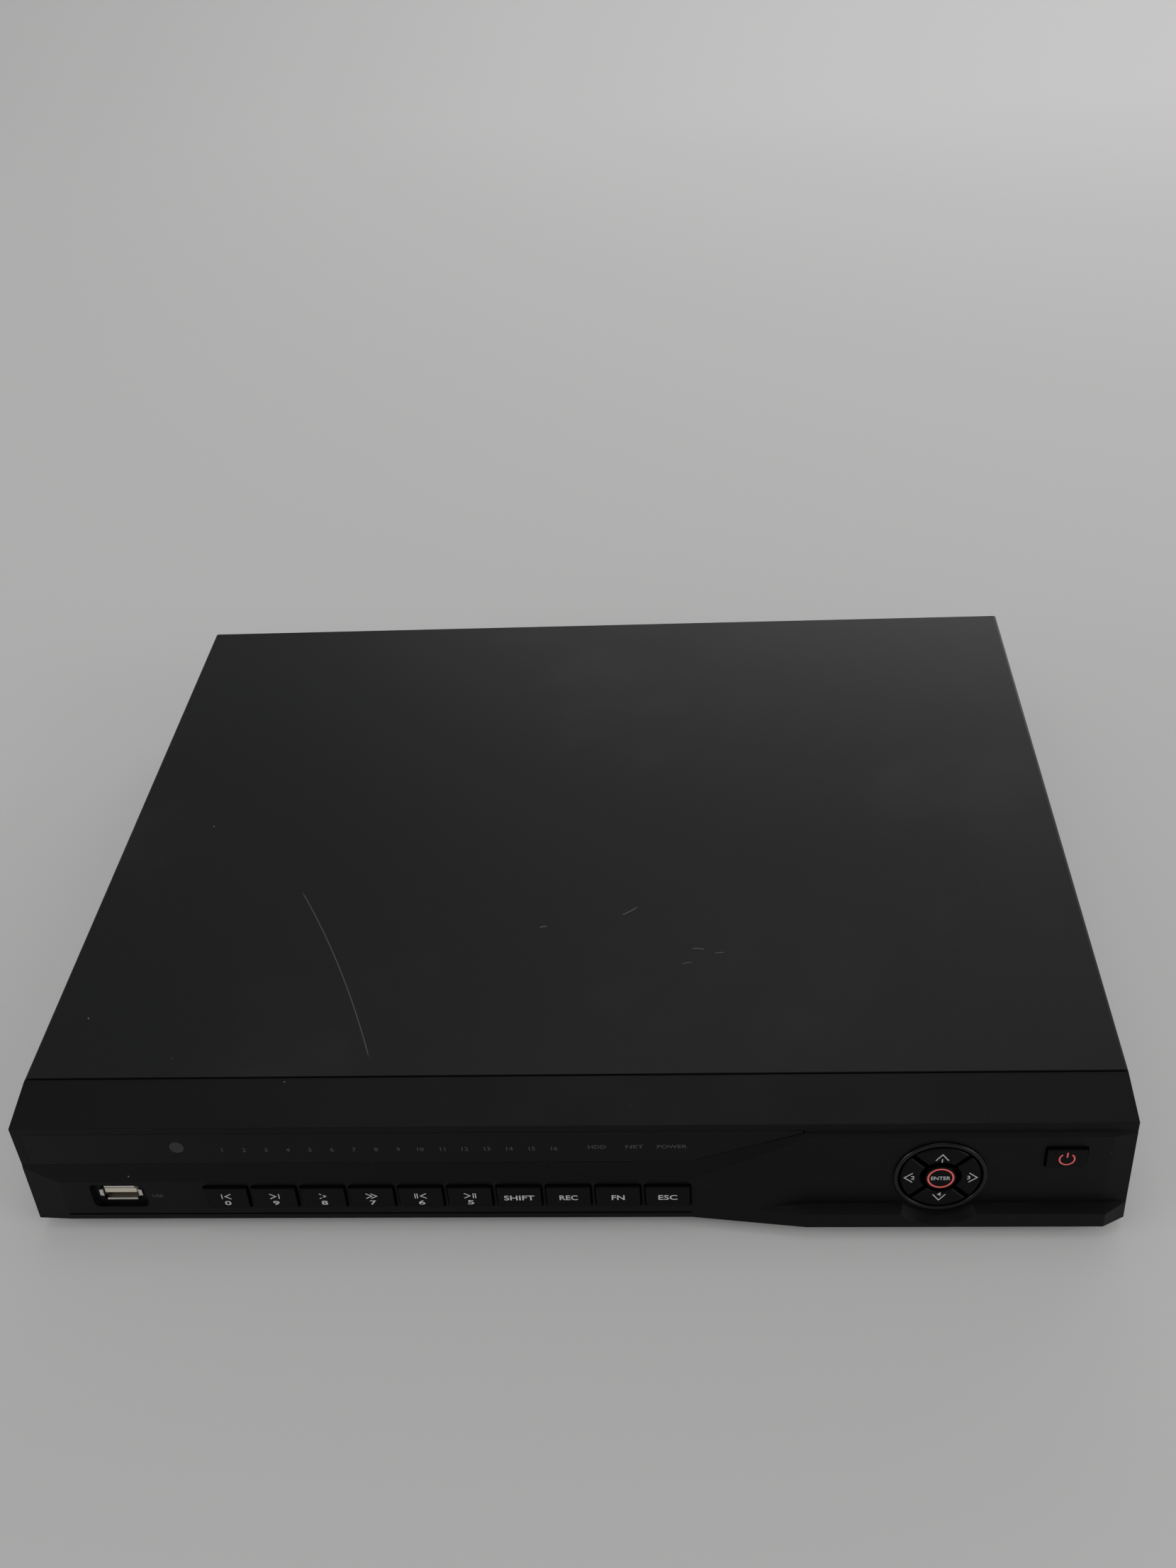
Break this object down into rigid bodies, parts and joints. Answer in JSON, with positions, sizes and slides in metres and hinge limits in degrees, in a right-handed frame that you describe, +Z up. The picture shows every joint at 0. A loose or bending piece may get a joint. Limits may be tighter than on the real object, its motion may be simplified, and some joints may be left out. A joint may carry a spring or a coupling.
{
  "type": "digital video recorder",
  "caption": "Low, wide desktop video recorder with a folded steel case, a sloping black front with a key row and round direction pad, and a rear socket panel.",
  "frame": {"origin": "bottom centre of the whole object, on the surface that the feet stand on", "axes": "+X to the right when facing the front, +Y from the front to the rear panel, +Z up"},
  "size_m": [0.375, 0.3, 0.049],
  "materials": {
    "bezel_plastic": "fine texture, near black",
    "button_plastic": "satin, near black",
    "ring_plastic": "polished, black",
    "window_acrylic": "polished, smoked black",
    "lens_acrylic": "polished, dark red",
    "light_guide": "clear red, lit",
    "case_paint": "powder coat, fine grain, charcoal",
    "black_steel": "blackened",
    "foot_rubber": "matte black",
    "socket_steel": "bright plated",
    "contact_gold": "gold plated",
    "cream_plastic": "satin cream",
    "black_plastic": "satin black",
    "terminal_plastic": "satin green",
    "board_laminate": "satin green",
    "bare_aluminium": "satin",
    "cell_steel": "bright",
    "cable_jacket": "satin grey"
  },
  "bodies": {
    "recorder": {"front_bezel": "bezel_plastic", "pad_ring": "ring_plastic", "indicator_window": "window_acrylic", "infrared_receiver": "lens_acrylic", "indicator_leds": "light_guide", "top_cover": "case_paint", "chassis": "case_paint", "cover_screws": "black_steel", "pan_head_screws": "black_steel", "rubber_feet": "foot_rubber", "front_usb_shell": "socket_steel", "vga_shell": "socket_steel", "hdmi_socket": "socket_steel", "rear_usb_shell": "socket_steel", "standoffs": "socket_steel", "bnc_barrels": "socket_steel", "rca_barrels": "socket_steel", "bnc_contacts": "contact_gold", "front_usb_tongue": "cream_plastic", "rear_usb_tongues": "cream_plastic", "bnc_insulators": "cream_plastic", "cable_headers": "cream_plastic", "bnc_block": "black_plastic", "rca_block": "black_plastic", "vga_insert": "black_plastic", "network_jack": "black_plastic", "power_inlet": "black_plastic", "power_switch_housing": "black_plastic", "fan_frame": "black_plastic", "tact_switches": "black_plastic", "board_components": "black_plastic", "buzzer": "black_plastic", "terminal_block": "terminal_plastic", "front_board": "board_laminate", "main_board": "board_laminate", "heatsink": "bare_aluminium", "hard_drive": "bare_aluminium", "coin_cell": "cell_steel", "front_ribbon_cable": "cable_jacket", "drive_cables": "cable_jacket", "fan_cable": "cable_jacket"},
    "key_0_body": {"key_0": "button_plastic"},
    "key_9_body": {"key_9": "button_plastic"},
    "key_8_body": {"key_8": "button_plastic"},
    "key_7_body": {"key_7": "button_plastic"},
    "key_6_body": {"key_6": "button_plastic"},
    "key_5_body": {"key_5": "button_plastic"},
    "key_shift_body": {"key_shift": "button_plastic"},
    "key_record_body": {"key_record": "button_plastic"},
    "key_function_body": {"key_function": "button_plastic"},
    "key_escape_body": {"key_escape": "button_plastic"},
    "pad_up_body": {"pad_up": "button_plastic"},
    "pad_left_body": {"pad_left": "button_plastic"},
    "pad_down_body": {"pad_down": "button_plastic"},
    "pad_right_body": {"pad_right": "button_plastic"},
    "power_button_body": {"power_button": "button_plastic"},
    "enter_body": {"enter_button": "button_plastic", "enter_light_ring": "light_guide"},
    "fan_rotor_body": {"fan_rotor": "black_plastic"},
    "rocker_body": {"power_switch_rocker": "black_plastic"}
  },
  "joints": [
    {"name": "key_0_press", "type": "slide", "parent": "recorder", "child": "key_0_body", "axis": [0, 0.9799, -0.1994], "range_m": [0, 0.0005], "stiffness_N_per_m": 2000},
    {"name": "key_9_press", "type": "slide", "parent": "recorder", "child": "key_9_body", "axis": [0, 0.9799, -0.1994], "range_m": [0, 0.0005], "stiffness_N_per_m": 2000},
    {"name": "key_8_press", "type": "slide", "parent": "recorder", "child": "key_8_body", "axis": [0, 0.9799, -0.1994], "range_m": [0, 0.0005], "stiffness_N_per_m": 2000},
    {"name": "key_7_press", "type": "slide", "parent": "recorder", "child": "key_7_body", "axis": [0, 0.9799, -0.1994], "range_m": [0, 0.0005], "stiffness_N_per_m": 2000},
    {"name": "key_6_press", "type": "slide", "parent": "recorder", "child": "key_6_body", "axis": [0, 0.9799, -0.1994], "range_m": [0, 0.0005], "stiffness_N_per_m": 2000},
    {"name": "key_5_press", "type": "slide", "parent": "recorder", "child": "key_5_body", "axis": [0, 0.9799, -0.1994], "range_m": [0, 0.0005], "stiffness_N_per_m": 2000},
    {"name": "key_shift_press", "type": "slide", "parent": "recorder", "child": "key_shift_body", "axis": [0, 0.9799, -0.1994], "range_m": [0, 0.0005], "stiffness_N_per_m": 2000},
    {"name": "key_record_press", "type": "slide", "parent": "recorder", "child": "key_record_body", "axis": [0, 0.9799, -0.1994], "range_m": [0, 0.0005], "stiffness_N_per_m": 2000},
    {"name": "key_function_press", "type": "slide", "parent": "recorder", "child": "key_function_body", "axis": [0, 0.9799, -0.1994], "range_m": [0, 0.0005], "stiffness_N_per_m": 2000},
    {"name": "key_escape_press", "type": "slide", "parent": "recorder", "child": "key_escape_body", "axis": [0, 0.9799, -0.1994], "range_m": [0, 0.0005], "stiffness_N_per_m": 2000},
    {"name": "pad_up_press", "type": "slide", "parent": "recorder", "child": "pad_up_body", "axis": [0, 0.9799, -0.1994], "range_m": [0, 0.0005], "stiffness_N_per_m": 2000},
    {"name": "pad_left_press", "type": "slide", "parent": "recorder", "child": "pad_left_body", "axis": [0, 0.9799, -0.1994], "range_m": [0, 0.0005], "stiffness_N_per_m": 2000},
    {"name": "pad_down_press", "type": "slide", "parent": "recorder", "child": "pad_down_body", "axis": [0, 0.9799, -0.1994], "range_m": [0, 0.0005], "stiffness_N_per_m": 2000},
    {"name": "pad_right_press", "type": "slide", "parent": "recorder", "child": "pad_right_body", "axis": [0, 0.9799, -0.1994], "range_m": [0, 0.0005], "stiffness_N_per_m": 2000},
    {"name": "power_button_press", "type": "slide", "parent": "recorder", "child": "power_button_body", "axis": [0, 0.9799, -0.1994], "range_m": [0, 0.0005], "stiffness_N_per_m": 2000},
    {"name": "enter_press", "type": "slide", "parent": "recorder", "child": "enter_body", "axis": [0, 0.9799, -0.1994], "range_m": [0, 0.0005], "stiffness_N_per_m": 2000},
    {"name": "fan_spin", "type": "hinge", "parent": "recorder", "child": "fan_rotor_body", "pos_m": [-0.1595, 0.1335, 0.027], "axis": [0, 1, 0], "continuous": true},
    {"name": "power_rocker", "type": "hinge", "parent": "recorder", "child": "rocker_body", "pos_m": [0.158, 0.13848, 0.0375], "axis": [0, 0, 1], "range_deg": [0, 20]}
  ]
}
